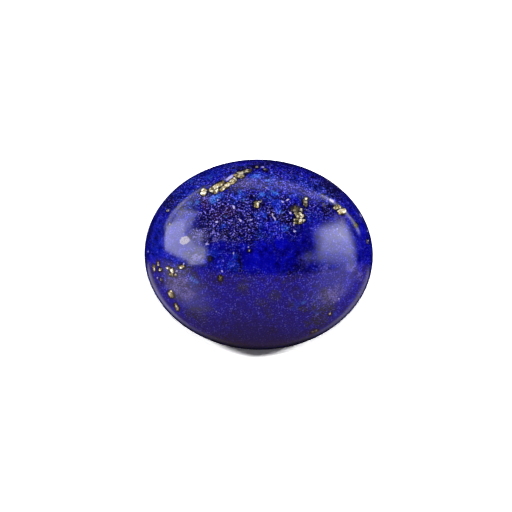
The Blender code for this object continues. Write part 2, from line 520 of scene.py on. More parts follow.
# %% The near-black and olive-brown patches, and the calcite spot
DARK = [
    (-0.89, 4.47, 0.65, 0.14, 5, 0.9), (0.2, 4.72, 0.6, 0.2, 0, 0.9),
    (3.87, 3.47, 0.75, 0.42, -40, 0.85), (-4.69, 2.59, 0.55, 0.24, 25, 0.9),
    (-5.7, 1.04, 0.12, 0.4, 0, 0.7), (1.84, 2.43, 0.3, 0.28, 0, 0.9), (1.37, 2.21, 0.24, 0.24, 0, 0.8),
    (2.15, 2.85, 0.2, 0.3, 0, 0.8), (-0.34, 1.27, 0.3, 0.6, -20, 0.6),
    (-0.12, 0.85, 0.28, 0.18, 0, 0.8), (-0.92, -0.46, 0.12, 0.66, 9, 0.95),
    (2.18, -0.67, 0.42, 0.24, 10, 0.9), (1.66, -0.94, 0.14, 0.28, 0, 0.8),
    (-0.58, -1.94, 0.22, 0.22, 0, 0.6), (-3.51, -0.7, 0.2, 0.26, 0, 0.7),
    (-3.23, -1.17, 0.26, 0.16, -30, 0.7), (-2.8, -1.79, 0.26, 0.18, 0, 0.5),
    (-2.02, -1.45, 0.22, 0.22, 0, 0.6), (-4.15, -2.34, 0.22, 0.2, 0, 0.7),
    (3.63, 2.42, 0.34, 0.28, 0, 0.8), (-2.64, 0.69, 0.3, 0.08, -30, 0.8),
    (-1.76, 1.03, 0.25, 0.1, 10, 0.8), (2.9, -3.95, 0.35, 0.16, 10, 0.6),
    (-1.29, -3.01, 0.16, 0.1, 0, 0.6), (2.2, -0.2, 0.4, 0.16, -60, 0.4), (0.7, 0.4, 0.12, 0.5, 10, 0.4),
    (-0.31, 3.01, 0.36, 0.13, -45, 0.9), (0.31, 2.39, 0.42, 0.16, -38, 0.9),
    (1.17, 1.88, 0.6, 0.16, -22, 0.9), (1.42, 2.47, 0.26, 0.18, 0, 0.7),
    (2.42, 2.18, 0.14, 0.36, 0, 0.8), (-1.44, 3.24, 0.5, 0.13, 30, 0.8),
    (-3.63, 2.4, 0.47, 0.26, 0, 0.35), (1.79, 4.32, 0.68, 0.16, -12, 0.5),
    (-1.38, 0.77, 0.32, 0.16, 0, 0.7), (-0.43, 0.58, 0.37, 0.16, -30, 0.7),
    (1.46, -1.74, 0.26, 0.16, 0, 0.5), (1.65, -2.73, 0.26, 0.16, 0, 0.5),
    (-0.69, -1.79, 0.26, 0.21, 0, 0.5), (0.43, -2.71, 0.26, 0.21, 0, 0.5),
    (-2.05, -2.24, 0.26, 0.16, 0, 0.5), (-1.65, -3.6, 0.26, 0.16, 0, 0.5),
    (0.89, -3.96, 0.32, 0.16, 0, 0.5), (-3.58, 0.8, 0.2, 0.06, -45, 0.8),
    (-0.4, 3.3, 0.2, 0.14, -30, 0.5), (-3.65, -0.12, 0.12, 0.12, 0, 0.7),
    (-1.15, 3.55, 0.14, 0.09, 30, 0.9), (-2.85, 1.75, 0.2, 0.3, 0, 0.5), (1.6, 4.75, 1, 0.2, -8, 0.6),
    (3.2, 4.12, 0.9, 0.2, -32, 0.5),
]
BROWN = [
    (3.59, -2.74, 0.6, 0.3, 10, 1), (2.96, -2.65, 0.24, 0.3, 0, 0.9), (2.44, -2.82, 0.28, 0.14, 0, 0.9),
    (3.24, -3.33, 0.5, 0.34, 0, 1), (2.7, -3.55, 0.3, 0.2, 0, 0.8), (1.75, -2.52, 0.18, 0.28, 0, 0.6),
    (1.35, -1.37, 0.16, 0.12, 0, 0.7), (0.95, -2.17, 0.36, 0.3, 0, 0.8),
    (0.27, -2.56, 0.34, 0.28, 0, 0.6), (0.6, -3.07, 0.24, 0.34, 0, 0.6),
    (-3.24, -3.16, 0.55, 0.34, 0, 0.8), (-2.86, -3.52, 0.36, 0.24, 0, 0.7),
    (-4, -0.95, 0.5, 0.25, 0, 0.8), (-0.8, -1.75, 0.28, 0.3, 0, 0.8), (-2.6, -2.9, 0.3, 0.18, 0, 0.6),
    (3.6, -2.05, 0.2, 0.34, 0, 0.6), (-0.6, -1.6, 0.2, 0.3, 0, 0.5), (2.1, -2, 0.3, 0.22, 0, 0.4),
]
CALCITE = [(-3.83, 0.61, 0.27, 0.20, 15, 1.0)]
print("dark patches:", len(DARK) + len(BROWN))

# %% The pyrite, and the pale specks
BRIGHT_PYRITE = [
    (-2.91, 3.16, 0.16, 0.135, 70, 1), (-2.39, 3.27, 0.22, 0.14, -10, 1),
    (-2.13, 3.54, 0.32, 0.1, 30, 1), (-1.81, 3.45, 0.33, 0.095, 38, 1), (-1.4, 3.77, 0.19, 0.11, 40, 1),
    (-1.1, 4.04, 0.26, 0.08, -8, 1), (-0.15, 2.56, 0.16, 0.12, 90, 1), (1.95, 2.06, 0.17, 0.07, -60, 1),
    (2.13, 2.1, 0.13, 0.08, -50, 1), (2.22, 1.99, 0.13, 0.06, 40, 1), (2.14, 1.75, 0.1, 0.08, 90, 1),
    (4.05, 2.53, 0.19, 0.09, 10, 1), (4.31, 2.33, 0.22, 0.12, 15, 1), (5.07, 1.63, 0.07, 0.06, -50, 1),
    (-5.19, -0.62, 0.1, 0.04, 100, 0.9), (-5.4, -0.85, 0.13, 0.05, 95, 0.9),
    (-5.07, -0.93, 0.09, 0.05, 10, 1), (-4.6, -0.86, 0.14, 0.05, -25, 1),
    (-4.46, -1.02, 0.15, 0.055, 80, 1), (-4.5, -1.17, 0.07, 0.05, 0, 1),
    (-3.95, -0.76, 0.14, 0.06, 12, 1), (-4.25, -1.2, 0.06, 0.05, 0, 0.8),
    (-5.01, -1.45, 0.06, 0.04, 0, 0.7), (-4.48, -2.2, 0.17, 0.12, -60, 1),
    (-4.18, -2.85, 0.2, 0.065, -72, 1), (-1.93, -1.3, 0.11, 0.06, 90, 1),
    (3.8, -3.02, 0.05, 0.045, 0, 0.9), (2.42, 2.93, 0.07, 0.05, 90, 0.9),
    (2.93, -4, 0.06, 0.04, 20, 0.8),
]
DULL_PYRITE = [
    (-0.83, 4.26, 0.4, 0.09, 18, 0.9), (0.29, 4.39, 0.1, 0.06, 0, 0.8),
    (2.38, 2.73, 0.19, 0.09, 105, 0.9), (1.84, 2.37, 0.2, 0.17, 0, 0.6),
    (2.16, 2.33, 0.17, 0.06, 95, 0.7), (2.01, 1.75, 0.22, 0.12, 0, 1), (2.3, 1.8, 0.1, 0.07, 0, 0.8),
    (5.69, 0.78, 0.1, 0.07, 80, 0.7), (3.36, 2.62, 0.1, 0.08, 90, 0.3),
    (-4.76, 2.17, 0.09, 0.07, 0, 0.5), (-2.49, -0.31, 0.09, 0.05, 80, 0.8),
    (-0.18, 4.54, 0.08, 0.05, 0, 0.9), (-0.47, 0.16, 0.06, 0.05, 0, 0.7),
    (3.1, -3.92, 0.09, 0.05, 20, 0.9), (-4.66, 1.46, 0.06, 0.04, 30, 0.6),
    (0.05, 2.75, 0.1, 0.05, 40, 0.6), (-5.47, -0.72, 0.06, 0.05, 0, 0.6),
]
PALE_SPECKS = [
    (0.13, 4.54, 0.08, 0.05, 0, 0.6), (5.32, 2.14, 0.11, 0.05, -50, 1), (5.68, 1.33, 0.06, 0.05, 0, 1),
    (-5.76, -0.01, 0.04, 0.06, 0, 0.8), (-2.67, 0.45, 0.09, 0.05, 20, 0.9),
    (-4.74, -0.83, 0.045, 0.045, 0, 0.9), (-3.85, -0.6, 0.045, 0.045, 0, 0.9),
    (-4.21, -0.98, 0.05, 0.05, 0, 0.7), (-5.23, -1.37, 0.05, 0.045, 0, 0.9),
    (-1.84, -0.92, 0.05, 0.05, 0, 0.9), (-0.51, 0.37, 0.04, 0.04, 0, 0.8),
    (-1.27, 0.02, 0.05, 0.05, 0, 0.7), (4.25, -2.22, 0.04, 0.05, 0, 0.8),
    (-2.11, -3.03, 0.04, 0.04, 0, 0.5), (3.98, -2.4, 0.035, 0.035, 0, 0.5),
    (-0.99, 1.73, 0.11, 0.04, -30, 0.8), (-0.41, 1.77, 0.1, 0.04, 20, 0.8),
    (-2.19, 1.6, 0.07, 0.05, 0, 0.9), (1.46, 2.84, 0.08, 0.045, 20, 0.9),
    (1.2, 2.73, 0.06, 0.045, 0, 0.8), (1.62, 2.16, 0.06, 0.04, -40, 0.9),
    (0.78, 1.88, 0.15, 0.035, -45, 0.8), (1.87, 1.22, 0.06, 0.04, 0, 0.9),
    (1.81, 1.56, 0.06, 0.05, 0, 0.6), (-1.32, 2.4, 0.06, 0.08, 0, 0.9),
    (-1.56, 3.94, 0.26, 0.07, 40, 0.85), (-2.15, 2.76, 0.05, 0.05, 0, 0.7),
    (0.7, 2.05, 0.04, 0.09, 0, 0.7), (2.45, 2.35, 0.04, 0.04, 0, 0.6), (0.35, 3.45, 0.07, 0.03, 0, 0.4),
    (3.77, 2.86, 0.14, 0.06, -35, 1),
]
print("pyrite grains:", len(BRIGHT_PYRITE) + len(DULL_PYRITE), "and pale specks:", len(PALE_SPECKS))

# %% [markdown]
# ## The rock itself
# One group turns a point of the stone, in millimetres, into its colour, how
# metallic it is, its roughness and a height for fine relief. The colour is
# built up as a painter would, each mineral over those before it. The cells
# below follow that order: the blue ground, the speckled zone, the coloured
# patches, the dark gaps and pale stray grains, and last the hard grains.

# %% Colours of the minerals
DEEP_BLUE = colour(1, 0, 78)
LAZURITE = colour(4, 2, 132)
BRIGHT_LAZURITE = colour(14, 18, 200)
ROYAL_BLUE = colour(2, 3, 178)
AZURE_BLUE = colour(26, 66, 200)
SKY_BLUE = colour(64, 128, 232)
HEATHER_BLUE = colour(120, 112, 205)
VIOLET_GREY = colour(96, 84, 150)
RUSSET_BROWN = colour(74, 36, 58)
SPECKLE_DARK = colour(4, 1, 50)
SPECKLE_PALE = colour(160, 143, 226)
NEAR_BLACK = colour(6, 2, 30)
OLIVE_BROWN = colour(40, 42, 52)
LILAC = colour(190, 182, 240)
PALE_BLUE = colour(142, 136, 275)
CALCITE_WHITE = colour(172, 165, 186)
CALCITE_SHADE = colour(134, 128, 160)
# The pyrite's cream is a painted highlight; its olive and near-black are partly painted shade, and
# near-black also fills the cracks.
PYRITE_PAINTED_HIGHLIGHT = colour(325, 313, 280)
PYRITE_GOLD = colour(226, 200, 130)
PYRITE_OLIVE_AND_PAINTED_SHADE = colour(122, 110, 62)
PYRITE_CRACK_AND_PAINTED_SHADE = colour(30, 24, 18)
print("lazurite as a linear colour:", [round(part, 3) for part in LAZURITE])

# %% Sizes of the pattern, in millimetres, and how far a facet tilts
CLOUD_SIZE = 1.3
MOTTLE_SIZE = 0.30
COBBLE_SIZE = 0.26
GRAIN_SIZE = 0.075
FACET_SIZE = 0.13
GRAIN_RELIEF = 0.0011
FACET_TILT = 0.7
print("the rock varies from", CLOUD_SIZE, "mm down to", GRAIN_SIZE, "mm")

# %% Start the mineral group
outputs = [("Color", "Color"), ("Metal", "Float"), ("Roughness", "Float"), ("Height", "Float")]
rock, rock_start, rock_end = new_group("lapis_minerals", [("Point", "Vector")], outputs)
rock_point = rock_start.outputs["Point"]


def times(first, second):
    """The product of two masks in the rock."""
    return sums(rock, "MULTIPLY", first, second)


def zone(place, rows, softness):
    """The mask of a list of cloudy patches in the rock."""
    return patches(rock, place, rows, CLOUDY_PATCH, softness)


def warped(place, size, amount, detail=1.0):
    """Shift each point by noise, so that borders are ragged."""
    wander = noise(rock, place, size, detail).outputs["Color"]
    shift = vector_sums(rock, "SUBTRACT", wander, (0.5, 0.5, 0.5))
    return vector_sums(rock, "ADD", place, vector_sums(rock, "SCALE", shift, scale=amount))


ragged = warped(warped(rock_point, 0.50, 0.50), 0.11, 0.30, 2.0)
crisp = warped(rock_point, 0.12, 0.15, 2.0)
print("nodes that make the borders ragged:", len(rock.nodes))

# %% [markdown]
# ## The blue ground
# Lazurite is never one blue. It varies in clouds, in mottles and from grain
# to grain, so three noises of different sizes are added to one tone, which
# runs through three blues. Where the rock is coarse, azure and near-black
# cobbles lie in it, and where it is calm, the grain is weaker. Patches of
# royal blue go over both. Some of them are painted light: broad patches that
# lighten the lower half, where less light falls, and the rock under the two
# softbox reflections.

# %% Clouds, mottles and grains
cloud = noise(rock, rock_point, CLOUD_SIZE, 3.0, 0.6).outputs["Fac"]
mottle = noise(rock, rock_point, MOTTLE_SIZE, 3.0, 0.65).outputs["Fac"]
grain = parts_of(rock, noise(rock, rock_point, GRAIN_SIZE, 1.5, 0.6).outputs["Color"])

DEEP_TO_LAZURITE = (0.43, 0.70)
LAZURITE_TO_BRIGHT = (0.65, 1.02)
AZURE_COBBLES = (0.54, 0.66, 0.0, 0.55)
DARK_COBBLES = (0.50, 0.60, 0.0, 0.70)
ROYAL_AND_PAINTED_LIGHT_SHARE = 0.7

calm = zone(ragged, CALM, 0.35)
coarse = ease(rock, zone(ragged, COARSE, 0.30), 0.0, 1.0, 0.28, 1.0)
grainy = sums(rock, "SUBTRACT", 1.0, calm)
coarse = times(coarse, grainy)

tone = sums(rock, "MULTIPLY_ADD", cloud, 0.70, sums(rock, "MULTIPLY_ADD", mottle, 0.90, -0.125))
contrast = sums(rock, "MULTIPLY_ADD", coarse, 0.9, 0.32)
tone = sums(rock, "ADD", tone, times(sums(rock, "SUBTRACT", grain[0], 0.5), contrast))
stone_colour = blend(rock, ease(rock, tone, *DEEP_TO_LAZURITE), DEEP_BLUE, LAZURITE)
stone_colour = blend(rock, ease(rock, tone, *LAZURITE_TO_BRIGHT), stone_colour, BRIGHT_LAZURITE)

cobbles = parts_of(rock, noise(rock, crisp, COBBLE_SIZE, 1.0, 0.5).outputs["Color"])
azure_cobble = times(ease(rock, cobbles[0], *AZURE_COBBLES), coarse)
stone_colour = blend(rock, azure_cobble, stone_colour, AZURE_BLUE)
dark_cobble = times(ease(rock, cobbles[1], *DARK_COBBLES), coarse)
stone_colour = blend(rock, dark_cobble, stone_colour, NEAR_BLACK)
uneven = ease(rock, sums(rock, "MULTIPLY_ADD", grain[0], 0.8, mottle), 0.68, 1.02)
# Royal blue patches, and painted light that lightens the lower half and the rock under the softbox
# reflections.
royal_and_painted_light = times(zone(ragged, ROYAL_AND_PAINTED_LIGHT, 0.45), ROYAL_AND_PAINTED_LIGHT_SHARE)
stone_colour = blend(rock, royal_and_painted_light, stone_colour, ROYAL_BLUE)
print("nodes with the blue ground:", len(rock.nodes))

# %% [markdown]
# ## The speckled zone and the coloured patches
# Up and left of the middle, pale violet grains crowd on a dark ground, like
# salt on slate. Cells could draw them, but their even spacing would show, so
# two channels of the same fine noise pick the pale grains and let the blue
# through. The larger patches follow. All but the russet ones are broken up by
# the grain, so that they don't look painted on.

# %% Speckles
PALE_SPECKLES = (0.545, 0.69)
BLUE_BETWEEN = (0.47, 0.62, 0.0, 0.6)
SPECKLE_SHARE = (0.36, 0.50, 0.35, 0.95)

speckle = blend(rock, ease(rock, grain[1], *PALE_SPECKLES), SPECKLE_DARK, SPECKLE_PALE)
speckle = blend(rock, ease(rock, grain[2], *BLUE_BETWEEN), speckle, stone_colour)
speckled = zone(ragged, SPECKLED, 0.40)
speckled = times(speckled, ease(rock, mottle, *SPECKLE_SHARE))
stone_colour = blend(rock, speckled, stone_colour, speckle)
print("nodes with the speckles:", len(rock.nodes))

# %% Azure, heather, violet, sky and russet
SKY_GRAIN = (0.34, 0.58, 0.30, 0.90)
RUSSET_SHARE = 0.6

for rows, tint in ((AZURE, AZURE_BLUE), (HEATHER, HEATHER_BLUE), (VIOLET, VIOLET_GREY)):
    amount = times(zone(ragged, rows, 0.5), uneven)
    stone_colour = blend(rock, amount, stone_colour, tint)
sky = times(zone(crisp, SKY, 0.6), ease(rock, grain[0], *SKY_GRAIN))
stone_colour = blend(rock, sky, stone_colour, SKY_BLUE)
russet = zone(ragged, RUSSET, 0.50)
stone_colour = blend(rock, times(russet, RUSSET_SHARE), stone_colour, RUSSET_BROWN)
print("nodes with the coloured patches:", len(rock.nodes))

# %% [markdown]
# ## The dark gaps and the stray grains
# Between the grains lie near-black gaps, and some pale grains are strewn
# everywhere. Both are strongest where the rock is coarse. The near-black and
# olive-brown patches go under them, broken up by the grain too.

# %% Dark and brown patches, gaps and stray grains
GAPS = (0.50, 0.38, 0.0, 0.85)
STRAY_SHARE = (0.36, 0.64, 0.35, 1.65)
STRAY_GRAINS = (0.53, 0.72)

for rows, tint, least in ((DARK, NEAR_BLACK, 0.55), (BROWN, OLIVE_BROWN, 0.42)):
    broken = ease(rock, grain[0], 0.64, 0.44, least, 0.95)
    stone_colour = blend(rock, times(zone(ragged, rows, 0.45), broken), stone_colour, tint)
gap = times(ease(rock, grain[1], *GAPS), coarse)
stone_colour = blend(rock, gap, stone_colour, NEAR_BLACK)

share = sums(rock, "MULTIPLY_ADD", coarse, 0.30, sums(rock, "MULTIPLY_ADD", grainy, 0.16, 0.06))
share = times(share, ease(rock, mottle, *STRAY_SHARE))
stray = times(ease(rock, grain[1], *STRAY_GRAINS), share)
stone_colour = blend(rock, stray, stone_colour, PALE_BLUE)
print("nodes with the gaps and stray grains:", len(rock.nodes))

# %% [markdown]
# ## The hard grains
# Pale specks, one calcite spot and the pyrite lie over all the rest. A pyrite
# grain is a cluster of small crystals, so Voronoi cells give it facets: each
# cell has its own slope and its own tone. On the gold grains the tones are
# painted light: cream facets are painted highlights and olive ones painted
# shade. The dull grains run from near-black to olive, partly painted shade,
# with a few cream painted highlights. The cracks between the cells are dark.
# A near-black seam parts each pyrite grain from the blue.

# %% Masks of the specks, the pyrite and its seams
specks = zone(crisp, PALE_SPECKS, 0.30)
bright, seam = seamed_grains(rock, crisp, BRIGHT_PYRITE, ANGULAR_PATCH, 0.14, 0.0)
dull, seam = seamed_grains(rock, crisp, DULL_PYRITE, ANGULAR_PATCH, 0.18, seam)
stone_colour = blend(rock, seam, stone_colour, NEAR_BLACK)
stone_colour = blend(rock, specks, stone_colour, LILAC)
calcite = zone(crisp, CALCITE, 0.12)
chalky = blend(rock, ease(rock, grain[2], 0.42, 0.58), CALCITE_SHADE, CALCITE_WHITE)
stone_colour = blend(rock, calcite, stone_colour, chalky)
print("nodes with the masks of the hard grains:", len(rock.nodes))

# %% Facets of gold and of olive pyrite, with painted highlights and shade
PAINTED_HIGHLIGHT_FACETS = (0.28, 0.78)
PAINTED_SHADE_FACETS = (0.68, 0.80, 0.0, 0.9)
CRACKS = (0.02, 0.14, 0.85, 0.0)

facets = cells(rock, rock_point, FACET_SIZE)
random = parts_of(rock, facets.outputs["Color"])
crack = cells(rock, rock_point, FACET_SIZE, "DISTANCE_TO_EDGE").outputs["Distance"]
# Gold grains: cream facets are painted highlights, olive facets painted shade, and the cracks between cells
# are dark.
gold_and_painted_light = blend(rock, ease(rock, random[0], *PAINTED_HIGHLIGHT_FACETS), PYRITE_GOLD, PYRITE_PAINTED_HIGHLIGHT)
gold_and_painted_light = blend(rock, ease(rock, random[2], *PAINTED_SHADE_FACETS), gold_and_painted_light, PYRITE_OLIVE_AND_PAINTED_SHADE)
gold_and_painted_light = blend(rock, ease(rock, crack, *CRACKS), gold_and_painted_light, PYRITE_CRACK_AND_PAINTED_SHADE)
# Dull grains: near-black to olive facets, partly painted shade, and a few cream ones as painted highlights.
dull_pyrite_and_painted_light = blend(rock, ease(rock, random[1], 0.15, 0.75), PYRITE_CRACK_AND_PAINTED_SHADE, PYRITE_OLIVE_AND_PAINTED_SHADE)
dull_pyrite_and_painted_light = blend(rock, ease(rock, random[0], 0.70, 0.90, 0.0, 0.6), dull_pyrite_and_painted_light, PYRITE_PAINTED_HIGHLIGHT)
stone_colour = blend(rock, dull, stone_colour, dull_pyrite_and_painted_light)
stone_colour = blend(rock, bright, stone_colour, gold_and_painted_light)
print("nodes with the pyrite:", len(rock.nodes))

# %% [markdown]
# ## What the group gives
# The colour goes out as it is. Pyrite is set not quite half metallic, since a
# full metal would show little but the dark room. It is rougher than the
# polished blue, and each facet tilts its own way. The blue takes a polish
# that varies slightly from mottle to mottle.

# %% Metal, roughness and relief
PYRITE_METAL = 0.45
PYRITE_ROUGHER = 0.22
SMOOTHEST = 0.10
ROUGHEST = 0.14

metal = sums(rock, "MAXIMUM", bright, dull)
tilted = vector_sums(rock, "SUBTRACT", facets.outputs["Color"], (0.5, 0.5, 0.5))
within = vector_sums(rock, "SUBTRACT", rock_point, facets.outputs["Position"])
slope = vector_sums(rock, "DOT_PRODUCT", within, tilted)
feed(rock, rock_end.inputs["Color"], stone_colour)
feed(rock, rock_end.inputs["Metal"], times(metal, PYRITE_METAL))
rough = ease(rock, mottle, 0.3, 0.7, SMOOTHEST, ROUGHEST)
feed(rock, rock_end.inputs["Roughness"], sums(rock, "MULTIPLY_ADD", metal, PYRITE_ROUGHER, rough))
relief = times(sums(rock, "ADD", grain[0], mottle), GRAIN_RELIEF)
facet_relief = times(slope, times(metal, FACET_TILT))
feed(rock, rock_end.inputs["Height"], sums(rock, "ADD", relief, facet_relief))
print("nodes in the mineral group:", len(rock.nodes))

# %% [markdown]
# ## Two finishes on one rock
# The dome and the girdle are polished. The bevel and the flat back are only
# ground, because nobody sees them in a setting, so they stay matt and keep
# the fine scratches of the last grinding wheel. The back could be a second
# object, but a second material on its faces keeps the stone one piece. Both
# finishes read the same mineral group. Its pattern is moved a few hundredths
# of a millimetre, to lie where the photograph has it.

# %% What both finishes share
STONE_IOR = 1.50
PATTERN_SHIFT = (0.029, -0.024, 0.0)


def stone_material(name):
    """A material of the rock: it, its tree, shader and group node, and its point in millimetres."""
    material = bpy.data.materials.new(name)
    material.use_nodes = True
    tree = material.node_tree
    shader = tree.nodes["Principled BSDF"]
    shader.inputs["IOR"].default_value = STONE_IOR
    place = tree.nodes.new("ShaderNodeTexCoord")
    to_mm = tree.nodes.new("ShaderNodeMapping")
    to_mm.inputs["Location"].default_value = PATTERN_SHIFT
    to_mm.inputs["Scale"].default_value = (1 / MM, 1 / MM, 1 / MM)
    feed(tree, to_mm.inputs["Vector"], place.outputs["Object"])
    minerals = use_group(tree, rock, to_mm.outputs["Vector"], {})
    feed(tree, shader.inputs["Base Color"], minerals.outputs["Color"])
    feed(tree, shader.inputs["Metallic"], minerals.outputs["Metal"])
    return material, tree, shader, minerals, to_mm.outputs["Vector"]


def add_relief(tree, shader, height, distance):
    """Give the shader a bump of the height given, at the distance given."""
    bump = tree.nodes.new("ShaderNodeBump")
    bump.inputs["Strength"].default_value = 1.0
    bump.inputs["Distance"].default_value = distance
    feed(tree, bump.inputs["Height"], height)
    feed(tree, shader.inputs["Normal"], bump.outputs["Normal"])


print("Object coordinates are multiplied by", round(1 / MM), "to give millimetres")

# %% The polish of the dome
polished, tree, shader, minerals, point = stone_material("lapis_polished")
feed(tree, shader.inputs["Roughness"], minerals.outputs["Roughness"])
add_relief(tree, shader, minerals.outputs["Height"], MM)
print("polish:", polished.name)

# %% The ground back, with its scratches
SCRATCH_LENGTH = 1.2
SCRATCH_THINNESS = 30.0
SCRATCH_TURN = math.radians(20)
SCRATCH_DEPTH = 0.004 * MM

ground, tree, shader, minerals, point = stone_material("lapis_ground")
stretched = tree.nodes.new("ShaderNodeMapping")
stretched.inputs["Scale"].default_value = (1.0, SCRATCH_THINNESS, 1.0)
stretched.inputs["Rotation"].default_value = (0.0, 0.0, SCRATCH_TURN)
feed(tree, stretched.inputs["Vector"], point)
scratches = noise(tree, stretched.outputs["Vector"], SCRATCH_LENGTH, 4.0, 0.7).outputs["Fac"]
feed(tree, shader.inputs["Roughness"], ease(tree, scratches, 0.3, 0.7, 0.42, 0.58))
add_relief(tree, shader, scratches, SCRATCH_DEPTH)
print("ground finish:", ground.name)

# %% Give the faces their finish
FACING_DOWN = -0.5

stone.data.materials.append(polished)
stone.data.materials.append(ground)
for face in stone.data.polygons:
    face.material_index = 1 if face.normal.z < FACING_DOWN else 0
print("ground faces:", sum(face.material_index for face in stone.data.polygons))

# %% The stone takes the place of the CAD solid
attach(stone, "root")
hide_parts("cabochon")
print(stone.name, "stands for the CAD node cabochon")

# %% [markdown]
# ## The studio
# The stone lies on a plain white table and is lit softly from above and a
# little behind, so that its shadow falls below the lower edge. The paper
# reflects 1.6 times what falls on it, which no real paper does. It stands for
# a table lit past plain white by lights of its own, which shows no tone but
# the shadow. The light that the paper throws on the stone is far dimmer,
# because the stone's foot is dark in the photograph.

# %% The table
FLOOR_SIZE = 1.2
FLOOR_WHITE = 1.6
FLOOR_BOUNCE = 0.11
FLOOR_GAP = 0.02 * MM

bpy.ops.mesh.primitive_plane_add(size=FLOOR_SIZE, location=(0, 0, -FLOOR_GAP))
floor = bpy.context.object
floor.name = "floor"
floor.visible_glossy = False
paper = bpy.data.materials.new("white_paper")
paper.use_nodes = True
tree = paper.node_tree
tree.nodes.remove(tree.nodes["Principled BSDF"])
matt = tree.nodes.new("ShaderNodeBsdfDiffuse")
ray = tree.nodes.new("ShaderNodeLightPath")
white = (FLOOR_WHITE, FLOOR_WHITE, FLOOR_WHITE, 1.0)
dimmed = (FLOOR_BOUNCE, FLOOR_BOUNCE, FLOOR_BOUNCE, 1.0)
feed(tree, matt.inputs["Color"], blend(tree, ray.outputs["Is Diffuse Ray"], white, dimmed))
feed(tree, tree.nodes["Material Output"].inputs["Surface"], matt.outputs[0])
floor.data.materials.append(paper)
print("table of", FLOOR_SIZE, "m")

# %% [markdown]
# ## What the polish mirrors
# A polished dome is a wide-angle mirror, so what it reflects makes half of
# its look: a softbox on each side, a dim sheet behind, and the pale front of
# the table below. Real softboxes could be lamps that the stone mirrors, but
# then their brightness in the reflection and on the rock can't be set apart.
# So sheets that only reflections see carry the lit areas, each a soft
# rectangle, and lamps that no reflection sees do the lighting. A lit area is
# placed on its sheet in parts of the sheet's distance, where 1 lies at 45
# degrees.

# %% One lit area of a panel
PANEL_DISTANCE = 0.30
PANEL_REACH = 2.2

BOX_SOCKETS = [("Point", "Vector"), ("Centre", "Vector"), ("Half size", "Vector")]
BOX_SOCKETS += [("Turn", "Float"), ("Softness", "Float"), ("Level", "Float")]
LIT_AREA, start, end = new_group("lit_area", BOX_SOCKETS, [("Glow", "Float")])
from_middle = vector_sums(LIT_AREA, "ABSOLUTE", turned_offset(LIT_AREA, start))
beyond = vector_sums(LIT_AREA, "SUBTRACT", from_middle, start.outputs["Half size"])
apart = LIT_AREA.nodes.new("ShaderNodeSeparateXYZ")
feed(LIT_AREA, apart.inputs[0], beyond)
softness = start.outputs["Softness"]
outside = sums(LIT_AREA, "MULTIPLY", softness, -1.0)
glow = sums(
    LIT_AREA, "MULTIPLY",
    ease(LIT_AREA, apart.outputs["X"], outside, softness, 1.0, 0.0),
    ease(LIT_AREA, apart.outputs["Y"], outside, softness, 1.0, 0.0),
)
feed(LIT_AREA, end.inputs["Glow"], sums(LIT_AREA, "MULTIPLY", glow, start.outputs["Level"]))
print("nodes in a lit area:", len(LIT_AREA.nodes))


# %% A panel of several lit areas
def panel(name, location, rotation, areas):
    """A sheet with lit areas: (across, up, half across, half up, turn, softness, level)."""
    bpy.ops.mesh.primitive_plane_add(
        size=2 * PANEL_REACH * PANEL_DISTANCE, location=location, rotation=rotation
    )
    sheet = bpy.context.object
    sheet.name = name
    material = bpy.data.materials.new(name)
    material.use_nodes = True
    tree = material.node_tree
    tree.nodes.remove(tree.nodes["Principled BSDF"])
    place = tree.nodes.new("ShaderNodeTexCoord")
    spot = vector_sums(tree, "SCALE", place.outputs["Object"], scale=1 / PANEL_DISTANCE)
    total = None
    for across, up, half_across, half_up, turn, softness, level in areas:
        node = use_group(tree, LIT_AREA, spot, {
            "Centre": (across, up, 0.0),
            "Half size": (half_across, half_up, 1.0),
            "Turn": math.radians(turn),
            "Softness": softness,
            "Level": level,
        })
        total = node.outputs[0] if total is None else sums(tree, "MAXIMUM", total, node.outputs[0])
    glow = tree.nodes.new("ShaderNodeEmission")
    feed(tree, glow.inputs["Strength"], total)
    clear = tree.nodes.new("ShaderNodeBsdfTransparent")
    both = tree.nodes.new("ShaderNodeAddShader")
    feed(tree, both.inputs[0], glow.outputs[0])
    feed(tree, both.inputs[1], clear.outputs[0])
    feed(tree, tree.nodes["Material Output"].inputs["Surface"], both.outputs[0])
    sheet.data.materials.append(material)
    sheet.visible_camera = False
    sheet.visible_diffuse = False
    sheet.visible_shadow = False
    sheet.visible_transmission = False


print("panels reach", round(PANEL_REACH * PANEL_DISTANCE, 2), "m each way")

# %% The two softboxes and the sheet behind
UPRIGHT = math.radians(90)
LEFT_BOX = [
    (0.345, 0.274, 0.22, 0.28, -28, 0.03, 5.5), (0.147, 0.532, 0.22, 0.33, 18, 0.04, 5),
    (-0.04, 1.06, 0.22, 0.29, 4, 0.04, 4.6), (0.25, 0.93, 0.3, 0.27, -8, 0.06, 2.4),
    (0.65, 0.34, 0.23, 0.31, -12, 0.05, 3), (0.7, -0.13, 0.32, 0.09, -8, 0.04, 2.3),
    (1.25, -0.2, 0.45, 0.06, -4, 0.04, 1.4), (0.95, 0.02, 0.5, 0.12, 0, 0.08, 0.7),
]
RIGHT_BOX = [
    (0.26, 0.57, 0.39, 0.57, -2, 0.14, 2.6), (0.33, 0.53, 0.3, 0.48, -5, 0.1, 4.4),
    (0.4, 0.48, 0.21, 0.4, -5, 0.14, 6.2), (0.8, -0.28, 0.48, 0.08, 14, 0.04, 2.6),
    (1.22, -0.17, 0.22, 0.06, 8, 0.03, 5.6), (-0.02, 1.4, 0.1, 0.26, 0, 0.1, 1.2),
]
BACK_SHEET = [
    (0.22, 0.16, 0.56, 0.19, -4, 0.1, 0.8), (-0.92, 0.08, 0.5, 0.26, 0, 0.1, 0.35),
    (-0.95, -0.17, 0.38, 0.06, 0, 0.04, 1.1), (0.66, 0.03, 0.2, 0.05, -28, 0.04, 1.7),
]
